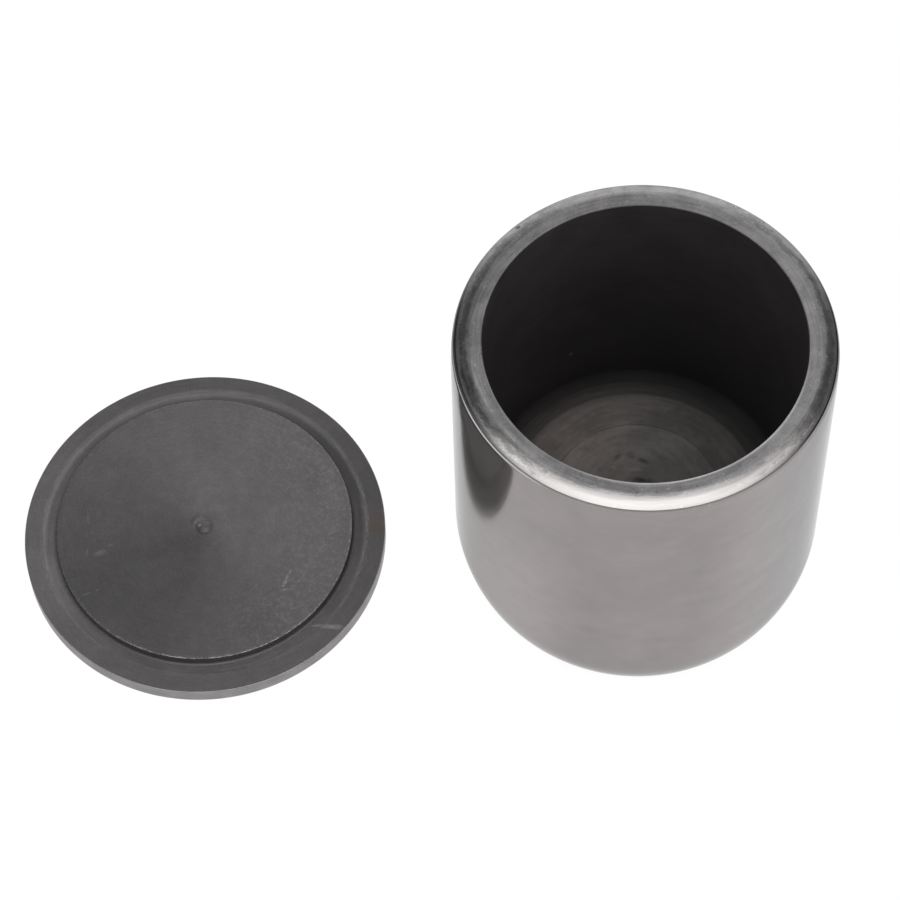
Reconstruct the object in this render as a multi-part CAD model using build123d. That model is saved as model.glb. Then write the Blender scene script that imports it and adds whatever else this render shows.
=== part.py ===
from build123d import *
from math import atan2, cos, degrees
import os

# Graphite melting crucible with its lid, in millimetres, +Z up.
# The crucible stands on its flat underside, whose centre is the origin. The lid has been taken
# off and lies beside it towards -X, upside down, with the face that plugs the bore uppermost.
# Both are turned pieces, so each is one closed half-section spun about its own axis.

# The crucible's outside
crucible_diameter = 60.0
crucible_height = 61.0
base_corner_radius = 2.5    # where the wall turns under
base_flank_height = 8.7     # above that corner's centre the wall is rounded in over this height
base_flank_in = 2.1         # and by this much, before the corner turns it under
neck_height = 6.0           # the last stretch under the rim, where polishing has leaned the wall in,
neck_lean_in = 0.3          # so that the rim is this much smaller in radius

# The crucible's wall and rim
wall_thickness = 4.9
rim_land_width = 1.6        # flat ring beside the bore
rim_shoulder_fall = 0.6     # the rest of the rim arches down by this much to its outer corner
rim_edge_break = 0.25       # chamfer on that corner, which shows as a fine line round the rim
mouth_break = 0.15          # chamfer on the edge of the bore

# The melt cavity's floor, as the boring tool left it
floor_thickness = 12.4      # under the middle land
floor_land_diameter = 28.0
floor_land_step = 0.25      # the middle land stands this much above the ring round it
floor_ring_fall = 0.75      # that ring then falls gently outwards
floor_trough_width = 3.1    # and a steeper band falls to the corner at the foot of the wall
floor_trough_fall = 0.9
cavity_corner_radius = 2.0

# The lid
lid_overhang = 0.4          # past the crucible's wall, so that the lid can be lifted off
lid_thickness = 3.1         # of the ring that lies on the rim
lid_edge_break = 0.3
spigot_height = 1.3         # of the disc that drops into the bore, above that ring
spigot_clearance = 0.2      # between disc and bore, all round
spigot_edge_break = 0.1
relief_width = 2.1          # round-bottomed groove at the foot of the disc: it spans the rim's land,
                            # and its outer edge beds on the shoulder just beyond
relief_depth = 0.4
pip_diameter = 2.4          # nib that the parting tool left at the centre of the disc
pip_height = 0.3
lid_gap = 12.0              # between the crucible and the lid that lies beside it

crucible_radius = crucible_diameter / 2
bore_radius = crucible_radius - wall_thickness
lid_radius = crucible_radius + lid_overhang
spigot_radius = bore_radius - spigot_clearance
lid_place = Location((-(crucible_radius + lid_gap + lid_radius), 0, 0))


def spun(section):
    """A half-section, drawn with X as the radius and Y as the height, stood up and spun about Z."""
    return revolve(Plane.XZ * section, Axis.Z)


def base_line():
    """Underside, the arc of the base corner, and the long arc of the flank up to the straight wall."""
    corner_centre = (crucible_radius - base_flank_in - base_corner_radius, base_corner_radius)
    flank_turn = 2 * degrees(atan2(base_flank_in, base_flank_height))
    flank_top = (crucible_radius, base_corner_radius + base_flank_height)

    corner = CenterArc(corner_centre, base_corner_radius, 270, 90 - flank_turn)
    flank = TangentArc(corner @ 1, flank_top, tangent=corner % 1)
    return Line((0, 0), corner @ 0) + corner + flank


def rim_line():
    """Neck, broken outer corner, arched shoulder and flat land, to the edge of the bore."""
    neck_top = (crucible_radius - neck_lean_in, crucible_height - rim_shoulder_fall - rim_edge_break)
    neck_foot = (crucible_radius, neck_top[1] - neck_height)
    shoulder_edge = (neck_top[0] - rim_edge_break, neck_top[1] + rim_edge_break)
    land_edge = (bore_radius + rim_land_width, crucible_height)
    mouth_edge = (bore_radius + mouth_break, crucible_height)

    shoulder = TangentArc(land_edge, shoulder_edge, tangent=(1, 0))
    return Polyline(neck_foot, neck_top, shoulder_edge) + shoulder + Line(land_edge, mouth_edge)


def cavity_line():
    """From the edge of the bore down the inner wall and in over the floor to the middle."""
    land_radius = floor_land_diameter / 2
    ring_inner_z = floor_thickness - floor_land_step
    ring_outer_z = ring_inner_z - floor_ring_fall
    trough_slope = atan2(floor_trough_fall, floor_trough_width)
    corner_centre = (
        bore_radius - cavity_corner_radius,
        ring_outer_z - floor_trough_fall + cavity_corner_radius * cos(trough_slope),
    )

    mouth = Line((bore_radius + mouth_break, crucible_height), (bore_radius, crucible_height - mouth_break))
    corner = CenterArc(corner_centre, cavity_corner_radius, 0, degrees(trough_slope) - 90)
    inner_wall = Line(mouth @ 1, corner @ 0)
    floor = Polyline(
        corner @ 1,
        ((corner @ 1).X - floor_trough_width, ring_outer_z),
        (land_radius + floor_land_step, ring_inner_z),
        (land_radius, floor_thickness),
        (0, floor_thickness),
    )
    return mouth + inner_wall + corner + floor


def crucible():
    """Pot with a rounded base, a thick wall and a cylindrical melt cavity."""
    base = base_line()
    rim = rim_line()
    wall = Line(base @ 1, rim @ 0)
    axis_line = Line((0, floor_thickness), (0, 0))
    return spun(make_face(base + wall + rim + cavity_line() + axis_line))


def lid():
    """Flat ring that beds on the rim, with the disc that plugs the bore raised in its middle."""
    top = lid_thickness + spigot_height
    pip_radius = pip_diameter / 2
    relief_edge = (spigot_radius + relief_width, lid_thickness)

    under = Polyline(
        (0, 0),
        (lid_radius - lid_edge_break, 0),
        (lid_radius, lid_edge_break),
        (lid_radius, lid_thickness),
        relief_edge,
    )
    relief = TangentArc(
        (spigot_radius, lid_thickness - relief_depth),
        relief_edge,
        tangent=(1, 0),
    )
    disc = Polyline(
        relief @ 0,
        (spigot_radius, top - spigot_edge_break),
        (spigot_radius - spigot_edge_break, top),
        (pip_radius, top),
    )
    pip = TangentArc((0, top + pip_height), disc @ 1, tangent=(1, 0))
    axis_line = Line(pip @ 0, (0, 0))
    return lid_place * spun(make_face(under + relief + disc + pip + axis_line))


os.makedirs("parts", exist_ok=True)
export_step(crucible(), "parts/crucible.step")
export_step(lid(), "parts/lid.step")
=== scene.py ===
# %% [markdown]
# # A turned graphite crucible and its lid
#
# The crucible and the lid are each turned from one block of graphite. Nothing on them is moulded
# or joined, so both are surfaces of revolution, and all of their character is in the section,
# in the tool's traces and in how much each face was polished. This file draws the two sections
# as lines and arcs, spins them into meshes with numpy, and then spends its effort on the finishes.

# %% The packed model, and the box it fills
import math

import bpy
import numpy as np
from mathutils import Matrix, Vector


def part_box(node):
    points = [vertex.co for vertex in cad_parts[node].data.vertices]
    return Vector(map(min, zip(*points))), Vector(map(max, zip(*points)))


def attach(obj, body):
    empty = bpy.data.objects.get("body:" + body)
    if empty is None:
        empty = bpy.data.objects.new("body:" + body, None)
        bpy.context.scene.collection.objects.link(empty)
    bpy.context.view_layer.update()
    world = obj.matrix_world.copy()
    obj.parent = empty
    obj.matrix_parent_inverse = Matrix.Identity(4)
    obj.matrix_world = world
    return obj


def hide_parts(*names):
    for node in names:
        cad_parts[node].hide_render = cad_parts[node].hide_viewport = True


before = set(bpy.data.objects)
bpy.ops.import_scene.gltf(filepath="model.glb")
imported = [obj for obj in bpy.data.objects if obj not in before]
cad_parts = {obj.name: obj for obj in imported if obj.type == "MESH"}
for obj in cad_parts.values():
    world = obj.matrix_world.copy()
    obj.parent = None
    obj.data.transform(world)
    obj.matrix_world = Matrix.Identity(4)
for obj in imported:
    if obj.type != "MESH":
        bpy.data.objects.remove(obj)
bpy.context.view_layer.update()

MM = 0.001
pot_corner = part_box("crucible")[1]
lid_low, lid_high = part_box("lid")
pot_radius = pot_corner.x
pot_height = pot_corner.z
lid_radius = (lid_high.x - lid_low.x) / 2
lid_centre = ((lid_high.x + lid_low.x) / 2, (lid_high.y + lid_low.y) / 2)
print(f"pot {2 * pot_radius / MM:.1f} mm across and {pot_height / MM:.1f} mm high")
print(f"lid {2 * lid_radius / MM:.1f} mm across, centre {lid_centre[0] / MM:.1f} mm along x")

# %% [markdown]
# ## The camera
#
# The photograph looks down at the pair at nearly sixty degrees with a long lens, which keeps both
# rims close to true ellipses. The camera is placed by the point it looks at, its distance, two
# angles and a slight roll. A camera looks along its own -Z with +Y up, so its rotation is built
# from the three directions right, up and back.

# %% Place the camera
IMAGE_SIZE = 900
SENSOR_WIDTH = 36.0
camera_place = Vector((-23.301, -275.371, 497.263)) * MM
camera_looks_at = Vector((-31.055, 16.900, 0.0)) * MM
camera_roll = math.radians(2.076)
focal_pixels = 3356.6

look = (camera_looks_at - camera_place).normalized()
level_right = look.cross(Vector((0, 0, 1))).normalized()
level_up = level_right.cross(look)
view_right = math.cos(camera_roll) * level_right - math.sin(camera_roll) * level_up
view_up = math.cos(camera_roll) * level_up + math.sin(camera_roll) * level_right

camera_data = bpy.data.cameras.new("camera")
camera_data.sensor_width = SENSOR_WIDTH
camera_data.lens = focal_pixels * SENSOR_WIDTH / IMAGE_SIZE
camera = bpy.data.objects.new("camera", camera_data)
turn = Matrix((view_right, view_up, -look)).transposed()
camera.matrix_world = Matrix.Translation(camera_place) @ turn.to_4x4()
bpy.context.scene.collection.objects.link(camera)
bpy.context.scene.camera = camera
bpy.context.scene.view_settings.view_transform = "Standard"
print(f"lens {camera_data.lens:.1f} mm, looking down at {math.degrees(math.asin(-look.z)):.1f} degrees")


# %% [markdown]
# The marks of wear, and one painted highlight, are laid where the photograph shows them. Each is
# given by its pixel, and a line of sight through that pixel finds its place: on a level face, or on
# the upright wall.

# %% From a pixel to a point
def seen_at(pixel, height):
    """Point where the line of sight through a pixel of the 900 x 900 image meets the level z = height."""
    across = (pixel[0] - IMAGE_SIZE / 2) / focal_pixels
    down = (pixel[1] - IMAGE_SIZE / 2) / focal_pixels
    sight = look + across * view_right - down * view_up
    reach = (height - camera_place.z) / sight.z
    return camera_place + reach * sight


def on_cylinder(pixel, radius, side=-1):
    """Point of an upright cylinder seen at a pixel: a root of |camera + t sight| = radius in plan.

    Side -1 takes the nearer root, which is the outside of the wall, and +1 the far inside."""
    sight = (seen_at(pixel, 0.0) - camera_place).normalized()
    flat = Vector((sight.x, sight.y))
    start = Vector((camera_place.x, camera_place.y))
    half = start.dot(flat)
    depth = math.sqrt(half * half - flat.dot(flat) * (start.dot(start) - radius ** 2))
    return camera_place + (side * depth - half) / flat.dot(flat) * sight


image_middle = (IMAGE_SIZE / 2, IMAGE_SIZE / 2)
middle_shows = seen_at(image_middle, 0.0) / MM
print(f"the middle of the image shows the table at {middle_shows.x:.1f}, {middle_shows.y:.1f} mm")

# %% [markdown]
# ## Studio
#
# Polished graphite has almost no colour of its own: what shows is the room. The pot's wall mirrors
# the white table, the front of its rounded rim mirrors a softbox overhead, and the flat land of the
# rim mirrors a pale wall behind. Left and right the room is dark, and the rim with it.
#
# The table shows as plain white to the camera and in reflections, with part of its true shading
# mixed in, which keeps the shadow where a piece stands. A Light Path node tells which kind of ray
# is looking.

# %% Table
WHITE = (1, 1, 1, 1)
TABLE_GREY = (0.88, 0.88, 0.88, 1)
TABLE_HALF = 0.9
PAPER_SHARE = 0.92
PAPER_BRIGHTNESS = 1.05


def new_tree(name):
    """Material with an empty node tree; returns the material and the tree."""
    material = bpy.data.materials.new(name)
    material.use_nodes = True
    material.node_tree.nodes.clear()
    return material, material.node_tree


def add(tree, kind, inputs=None, **settings):
    """Node of one kind, with its settings and its inputs given by socket name or number."""
    made = tree.nodes.new("ShaderNode" + kind)
    for key, value in settings.items():
        setattr(made, key, value)
    for key, value in (inputs or {}).items():
        socket = made.inputs[key]
        if isinstance(value, bpy.types.NodeSocket):
            tree.links.new(value, socket)
        else:
            socket.default_value = value
    return made


def math_of(tree, operation, first, second=0.0):
    """One Math node of two values or sockets."""
    return add(tree, "Math", {0: first, 1: second}, operation=operation).outputs[0]


table_material, tree = new_tree("white_table")
rays = add(tree, "LightPath")
seen = math_of(tree, "MAXIMUM", rays.outputs["Is Camera Ray"], rays.outputs["Is Glossy Ray"])
paper_share = math_of(tree, "MULTIPLY", seen, PAPER_SHARE)
shaded = add(tree, "BsdfDiffuse", {"Color": TABLE_GREY})
paper = add(tree, "Emission", {"Color": WHITE, "Strength": PAPER_BRIGHTNESS})
table_mix = add(tree, "MixShader", {0: paper_share, 1: shaded.outputs[0], 2: paper.outputs[0]})
add(tree, "OutputMaterial", {"Surface": table_mix.outputs[0]})

corners = [(-TABLE_HALF, -TABLE_HALF, 0), (TABLE_HALF, -TABLE_HALF, 0),
           (TABLE_HALF, TABLE_HALF, 0), (-TABLE_HALF, TABLE_HALF, 0)]
table_mesh = bpy.data.meshes.new("table")
table_mesh.from_pydata(corners, [], [(0, 1, 2, 3)])
table_mesh.materials.append(table_material)
table = bpy.data.objects.new("table", table_mesh)
bpy.context.scene.collection.objects.link(table)
print(f"table {2 * TABLE_HALF:.1f} m square, {100 * PAPER_SHARE:.0f} % plain white where it is seen")


# %% [markdown]
# The room is a world that is bright or dark by direction alone. The ratio of up to back is how far
# a ray climbs while it goes back by one, and it stays the same all along a wall's upper edge, so
# smooth steps over such ratios draw walls. The camera sees plain white instead.

# %% Room
NEVER_ZERO = 0.001


def fade(tree, value, start, stop, low=0.0, high=1.0):
    """Smooth step of a value: low at start and before it, high at stop and beyond it."""
    limits = {"Value": value, "From Min": start, "From Max": stop, "To Min": low, "To Max": high}
    return add(tree, "MapRange", limits, interpolation_type="SMOOTHSTEP").outputs["Result"]


def apart(tree, value, middle):
    """How far a value is from the middle one, either way."""
    return math_of(tree, "ABSOLUTE", math_of(tree, "SUBTRACT", value, middle))


world = bpy.data.worlds.new("room")
bpy.context.scene.world = world
world.use_nodes = True
tree = world.node_tree
tree.nodes.clear()
rays = add(tree, "LightPath")
direction = add(tree, "TexCoord").outputs["Generated"]
to_right, to_back, upwards = add(tree, "SeparateXYZ", {0: direction}).outputs

going_back = math_of(tree, "MAXIMUM", to_back, NEVER_ZERO)
climb = math_of(tree, "DIVIDE", upwards, going_back)
aside = math_of(tree, "DIVIDE", to_right, going_back)
back_wall = math_of(tree, "MULTIPLY", fade(tree, climb, 1.1, 0.5),
                    fade(tree, apart(tree, aside, 0.05), 1.0, 0.4))
back_panel = fade(tree, apart(tree, aside, 0.25), 0.65, 0.0, 0.0, 0.58)
glow = math_of(tree, "MULTIPLY", math_of(tree, "MAXIMUM", back_wall, back_panel), 0.95)

going_front = math_of(tree, "MAXIMUM", math_of(tree, "MULTIPLY", to_back, -1.0), NEVER_ZERO)
off_front = math_of(tree, "ABSOLUTE", math_of(tree, "DIVIDE", to_right, going_front))
front_wall = math_of(tree, "MULTIPLY", fade(tree, off_front, 1.5, 0.7),
                     fade(tree, upwards, 0.75, 0.5, 0.0, 0.4))

dark = fade(tree, upwards, 0.0, 1.0, 0.03, 0.2)
light = math_of(tree, "ADD", math_of(tree, "ADD", glow, front_wall), dark)
room = add(tree, "Background", {"Color": WHITE, "Strength": light})
backdrop = add(tree, "Background", {"Color": WHITE, "Strength": 1.0})
room_mix = add(tree, "MixShader",
               {0: rays.outputs["Is Camera Ray"], 1: room.outputs[0], 2: backdrop.outputs[0]})
add(tree, "OutputWorld", {"Surface": room_mix.outputs[0]})
print(f"room: {len(tree.nodes)} nodes")


# %% [markdown]
# One wide softbox hangs above the pair, a little towards the camera. It lights the graphite, and
# the front of the rim's shoulder mirrors it as one long highlight.

# %% Softbox
BOX_PLACE = (0.0, -0.12, 0.65)
BOX_AIM = (0, -0.12, 0)
BOX_WIDTH, BOX_HEIGHT = 0.66, 0.48
BOX_BRIGHTNESS = 3.3


def softbox(name, place, aim, width, height, brightness):
    """Area light seen as an evenly bright rectangle: its power is pi times brightness times area."""
    lamp = bpy.data.lights.new(name, "AREA")
    lamp.shape = "RECTANGLE"
    lamp.size = width
    lamp.size_y = height
    lamp.energy = math.pi * brightness * width * height
    box = bpy.data.objects.new(name, lamp)
    box.location = place
    box.rotation_euler = (Vector(aim) - Vector(place)).to_track_quat("-Z", "Y").to_euler()
    box.visible_camera = False
    bpy.context.scene.collection.objects.link(box)
    print(f"{name}: {width:.2f} x {height:.2f} m, {lamp.energy:.2f} W")


softbox("overhead", BOX_PLACE, BOX_AIM, BOX_WIDTH, BOX_HEIGHT, BOX_BRIGHTNESS)


# %% [markdown]
# ## Sections
#
# A section is a chain of points, radius against height, run from the middle of the underside
# outwards, up, over and back to the axis on top. Each stretch keeps the name of its finish.
# Straight runs are cut into even steps. An arc that must leave one point in a known direction
# and arrive at another is the circle through both whose centre lies square to that direction.

# %% Lines, arcs and corners
def run(start, stop, steps):
    """Straight run: start + t (stop - start), with t in even steps from 0 to 1."""
    t = np.linspace(0, 1, steps + 1)[:, None]
    return np.array(start) + t * (np.array(stop) - np.array(start))


def arc(centre, radius, first, last, steps):
    """Circle arc: centre + radius (cos a, sin a), with a from first to last in degrees."""
    a = np.radians(np.linspace(first, last, steps + 1))
    return np.array(centre) + radius * np.column_stack((np.cos(a), np.sin(a)))


def swept(start, direction, stop, steps):
    """Arc that leaves start along direction and ends at stop.

    Its centre lies square to the direction, at the distance chord squared over twice the chord's
    part along that normal, and each point is start turned about that centre by an even share."""
    start, stop = np.array(start, float), np.array(stop, float)
    along = np.array(direction, float) / np.hypot(*direction)
    normal = np.array((-along[1], along[0]))
    chord = stop - start
    reach = chord @ chord / (2 * chord @ normal)
    centre = start + reach * normal
    half = math.atan2(chord @ normal, chord @ along)
    turns = 2 * half * np.linspace(0, 1, steps + 1)
    spoke = start - centre
    square = np.array((-spoke[1], spoke[0]))
    return centre + np.cos(turns)[:, None] * spoke + np.sin(turns)[:, None] * square


def eased(start, corner, stop, steps):
    """Corner eased by a parabola: (1-t)^2 start + 2 t (1-t) corner + t^2 stop."""
    t = np.linspace(0, 1, steps + 1)[:, None]
    start, corner, stop = np.array(start), np.array(corner), np.array(stop)
    return (1 - t) ** 2 * start + 2 * t * (1 - t) * corner + t ** 2 * stop


def broken(points, ease, steps):
    """Polyline whose inner corners are each eased over a length on both sides; ends stay sharp."""
    points = [np.array(p, float) for p in points]
    chain = [points[0][None, :]]
    for before, here, after in zip(points, points[1:], points[2:]):
        back = (before - here) / np.hypot(*(before - here))
        ahead = (after - here) / np.hypot(*(after - here))
        chain.append(eased(here + ease * back, here, here + ease * ahead, steps))
    chain.append(points[-1][None, :])
    return np.vstack(chain)


quarter = arc((0, 0), 1.0, 0, 90, steps=12)
quarter_length = np.hypot(*np.diff(quarter, axis=0).T).sum()
print(f"a quarter circle in 12 steps is {quarter_length:.4f} long, against {math.pi / 2:.4f}")

# %% [markdown]
# ### The crucible's outside
#
# The base corner is a quarter round that runs on into a long arc up to the straight wall. Under the
# rim, polishing has leaned the wall in a little. The rim's outer corner is two arcs, a gentle one
# below and a tight one above, because a highlight shows every step between faces.

# %% Outside of the crucible, in millimetres
R = pot_radius / MM
H = pot_height / MM
wall = 4.9
bore = R - wall
base_corner = 2.5
flank_in, flank_high = 2.1, 8.7
neck_high, neck_in = 6.0, 0.15
land_wide = 1.6
shoulder_fall = 0.6
rim_ease, rim_round = 1.6, 0.3
rim_handover = 30          # degrees above level, where the gentler of the rim's two corner arcs ends
mouth_break = 0.15

flank_turn = 2 * math.atan2(flank_in, flank_high)
foot = R - flank_in - base_corner
flank_top = (R, base_corner + flank_high)
corner_arc = arc((foot, base_corner), base_corner, -90, -math.degrees(flank_turn), steps=14)
flank = swept(corner_arc[-1], (math.sin(flank_turn), math.cos(flank_turn)), flank_top, steps=16)

land_edge = (bore + land_wide, H)
neck_turn = 2 * math.degrees(math.atan2(neck_in, neck_high))
shoulder_wide = wall - land_wide - neck_in - rim_round
shoulder_turn = 2 * math.degrees(math.atan2(shoulder_fall, shoulder_wide))
rim_ease_line = arc((0, 0), rim_ease, neck_turn, rim_handover, steps=6)
rim_round_line = arc((0, 0), rim_round, rim_handover, 90 - shoulder_turn, steps=6)
rim_corner = np.vstack((rim_ease_line, rim_round_line[1:] - rim_round_line[0] + rim_ease_line[-1]))
rim_corner += np.array((R - neck_in, H - shoulder_fall)) - (rim_corner[0, 0], rim_corner[-1, 1])
neck_foot = (R, rim_corner[0, 1] - neck_high)
neck = swept(neck_foot, (0, 1), rim_corner[0], steps=12)
shoulder = swept(land_edge, (1, 0), rim_corner[-1], steps=16)[::-1]
mouth = eased((bore + mouth_break, H), (bore, H), (bore, H - mouth_break), steps=5)
print(f"the rim's outer corner runs from height {rim_corner[0, 1]:.2f} to {rim_corner[-1, 1]:.2f} mm")

# %% [markdown]
# ### The melt cavity
#
# The boring tool left a middle land, a ring that falls gently outwards from it, a steeper trough,
# and a rounded corner at the foot of the wall. The steps between them are eased, as by use.

# %% Floor of the cavity, and the whole section of the crucible
land_radius, land_z = 14.0, 12.4
land_slope_wide = 0.25
ring_inner_z, ring_outer_z = 12.15, 11.4
trough_wide, trough_fall = 3.1, 0.9
cavity_corner = 2.0
floor_ease = 0.18

trough_slope = math.atan2(trough_fall, trough_wide)
corner_z = ring_outer_z - trough_fall + cavity_corner * math.cos(trough_slope)
corner_end = math.degrees(trough_slope) - 90
inner_corner = arc((bore - cavity_corner, corner_z), cavity_corner, 0, corner_end, steps=12)
trough_foot = inner_corner[-1]
ring_radius = trough_foot[0] - trough_wide
ring_inner_radius = land_radius + land_slope_wide
floor_line = broken([trough_foot, (ring_radius, ring_outer_z), (ring_inner_radius, ring_inner_z),
                     (land_radius, land_z), (0, land_z)], floor_ease, steps=4)

pot_section = [
    ("underside", run((0, 0), (foot, 0), steps=8)),
    ("polished", corner_arc),
    ("polished", flank),
    ("polished", run(flank_top, neck_foot, steps=24)),
    ("polished", neck),
    ("polished", rim_corner),
    ("polished", shoulder),
    ("polished", run(land_edge, (bore + mouth_break, H), steps=6)),
    ("polished", mouth),
    ("bore", run((bore, H - mouth_break), (bore, corner_z), steps=24)),
    ("bore", inner_corner),
    ("floor", floor_line),
]
print(f"crucible section: {sum(len(points) for _, points in pot_section)} points")

# %% [markdown]
# ### The lid's section
#
# The lid is a flat ring with a round-bottomed groove, the raised disc that plugs the bore, and the
# nib that the parting tool left at its middle. The lid lies upside down, so the disc is on top. Its
# rings are closer together near the nib, where the small forms are.

# %% The lid's section, in millimetres
L = lid_radius / MM
lid_thick = 3.1
disc_high = 1.3
disc_clearance = 0.2
disc_break = 0.1
relief_wide, relief_deep = 2.1, 0.4
foot_ease = 0.45
edge_break, upper_break, edge_ease = 0.3, 0.1, 0.05
pip_radius, pip_high = 1.2, 0.3
pip_groove_wide, pip_groove_floor, pip_groove_deep = 0.16, 0.04, 0.08
close_rings_radius = 3.2

disc_top = lid_thick + disc_high
disc_radius = bore - disc_clearance
ridge_radius = disc_radius + relief_wide
ridge_edge = (ridge_radius, lid_thick)
relief_z = lid_thick - relief_deep
relief = swept((disc_radius, relief_z), (1, 0), ridge_edge, steps=24)[::-1]
relief = relief[relief[:, 0] > disc_radius + foot_ease]
relief_foot = eased(relief[-1], (disc_radius, relief_z), (disc_radius, relief_z + foot_ease), steps=6)
disc_edge = eased((disc_radius, disc_top - disc_break), (disc_radius, disc_top),
                  (disc_radius - disc_break, disc_top), steps=4)
pip_groove = run((pip_radius + pip_groove_wide, disc_top),
                 (pip_radius + pip_groove_floor, disc_top - pip_groove_deep), steps=2)
pip_dome = swept((0, disc_top + pip_high), (1, 0), (pip_radius, disc_top), steps=12)[::-1]

lid_section = [
    ("lid_face", run((0, 0), (L - edge_break, 0), steps=8)),
    ("lid_edge", broken([(L - edge_break, 0), (L, edge_break), (L, lid_thick), (L - upper_break, lid_thick)],
                        edge_ease, steps=3)),
    ("lid_face", run((L - upper_break, lid_thick), ridge_edge, steps=10)),
    ("lid_face", relief),
    ("lid_face", relief_foot),
    ("lid_face", run(relief_foot[-1], (disc_radius, disc_top - disc_break), steps=4)),
    ("worn_edge", disc_edge),
    ("lid_disc", run((disc_radius - disc_break, disc_top), (close_rings_radius, disc_top), steps=40)),
    ("lid_disc", run((close_rings_radius, disc_top), (pip_radius + pip_groove_wide, disc_top), steps=16)),
    ("lid_disc", np.vstack((pip_groove, pip_dome))),
]
print(f"lid section: {sum(len(points) for _, points in lid_section)} points")


# %% [markdown]
# ## Spinning a section
#
# Every point of the section becomes one ring of the grid: the second parameter is the angle.
# The two ends lie on the axis, so each is a single vertex with a fan of triangles, and the
# mesh is closed with no seam.

# %% From section to mesh
SEGMENTS = 480


def turned_grid(radius, height):
    """Grid of (r cos a, r sin a, z), a ring of SEGMENTS points for each radius r and height z."""
    a = np.linspace(0, 2 * math.pi, SEGMENTS, endpoint=False)
    level = np.repeat(height[:, None], SEGMENTS, axis=1)
    return np.stack((np.outer(radius, np.cos(a)), np.outer(radius, np.sin(a)), level), axis=2)


def turned_faces(rings):
    """Squares from each ring to the next, then a fan at the lower end and a fan at the upper end."""
    here = np.arange(SEGMENTS)
    after = (here + 1) % SEGMENTS
    low = (np.arange(rings - 1) * SEGMENTS)[:, None]
    squares = np.stack((low + here, low + after, low + SEGMENTS + after, low + SEGMENTS + here), axis=2)
    lower_end, upper_end = rings * SEGMENTS, rings * SEGMENTS + 1
    last_ring = (rings - 1) * SEGMENTS
    lower_fan = np.column_stack((np.full(SEGMENTS, lower_end), after, here))
    upper_fan = np.column_stack((np.full(SEGMENTS, upper_end), last_ring + here, last_ring + after))
    return squares.reshape(-1, 4).tolist() + lower_fan.tolist() + upper_fan.tolist()


def spin(name, section, finishes, axis=(0.0, 0.0), reshape=None):
    """Surface of revolution: (axis + r cos a, axis + r sin a, z) for every section point and angle."""
    points, zones = [section[0][1][0]], []
    for zone, stretch in section:
        points.extend(stretch[1:])
        zones.extend([zone] * (len(stretch) - 1))
    points = np.array(points) * MM
    grid = turned_grid(points[1:-1, 0], points[1:-1, 1])
    if reshape:
        grid = reshape(grid)
    grid = grid + np.array((axis[0], axis[1], 0))
    ends = np.array(((axis[0], axis[1], points[0, 1]), (axis[0], axis[1], points[-1, 1])))
    faces = turned_faces(len(grid))
    mesh = bpy.data.meshes.new(name)
    mesh.from_pydata(np.vstack((grid.reshape(-1, 3), ends)).tolist(), [], faces)

    kinds = list(dict.fromkeys(zones))
    for kind in kinds:
        mesh.materials.append(finishes[kind])
    index = np.array([kinds.index(zone) for zone in zones])
    slots = np.repeat(np.concatenate((index[1:-1], index[:1], index[-1:])), SEGMENTS)
    mesh.polygons.foreach_set("material_index", slots)
    mesh.polygons.foreach_set("use_smooth", np.ones(len(slots), bool))
    mesh.update()
    piece = bpy.data.objects.new(name, mesh)
    bpy.context.scene.collection.objects.link(piece)
    print(f"{name}: {len(grid)} rings, {2 * len(grid) * SEGMENTS} triangles")
    return piece


print(f"one ring has {SEGMENTS} points, {2 * math.pi * R / SEGMENTS:.2f} mm apart on the wall")


# %% [markdown]
# ## Finishes
#
# Everything on a lathe follows the circle. So each finish works in turned coordinates: the unit
# direction from the axis, and the distance travelled along the section, which is the radius minus
# the height, so that it runs on without a step from the wall over the rim. Noise that is read
# slowly round the circle and quickly along the section gives the fine rings of turning and
# polishing. Single marks are soft ellipses laid at the place where the photograph shows them.
#
# The shade of a finish is one number, 1 where the face is plain. Patterns multiply it and marks
# add to it, and in the end it scales the tint.

# %% Tools for the finishes
NEVER_ON_AXIS = 0.01


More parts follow.
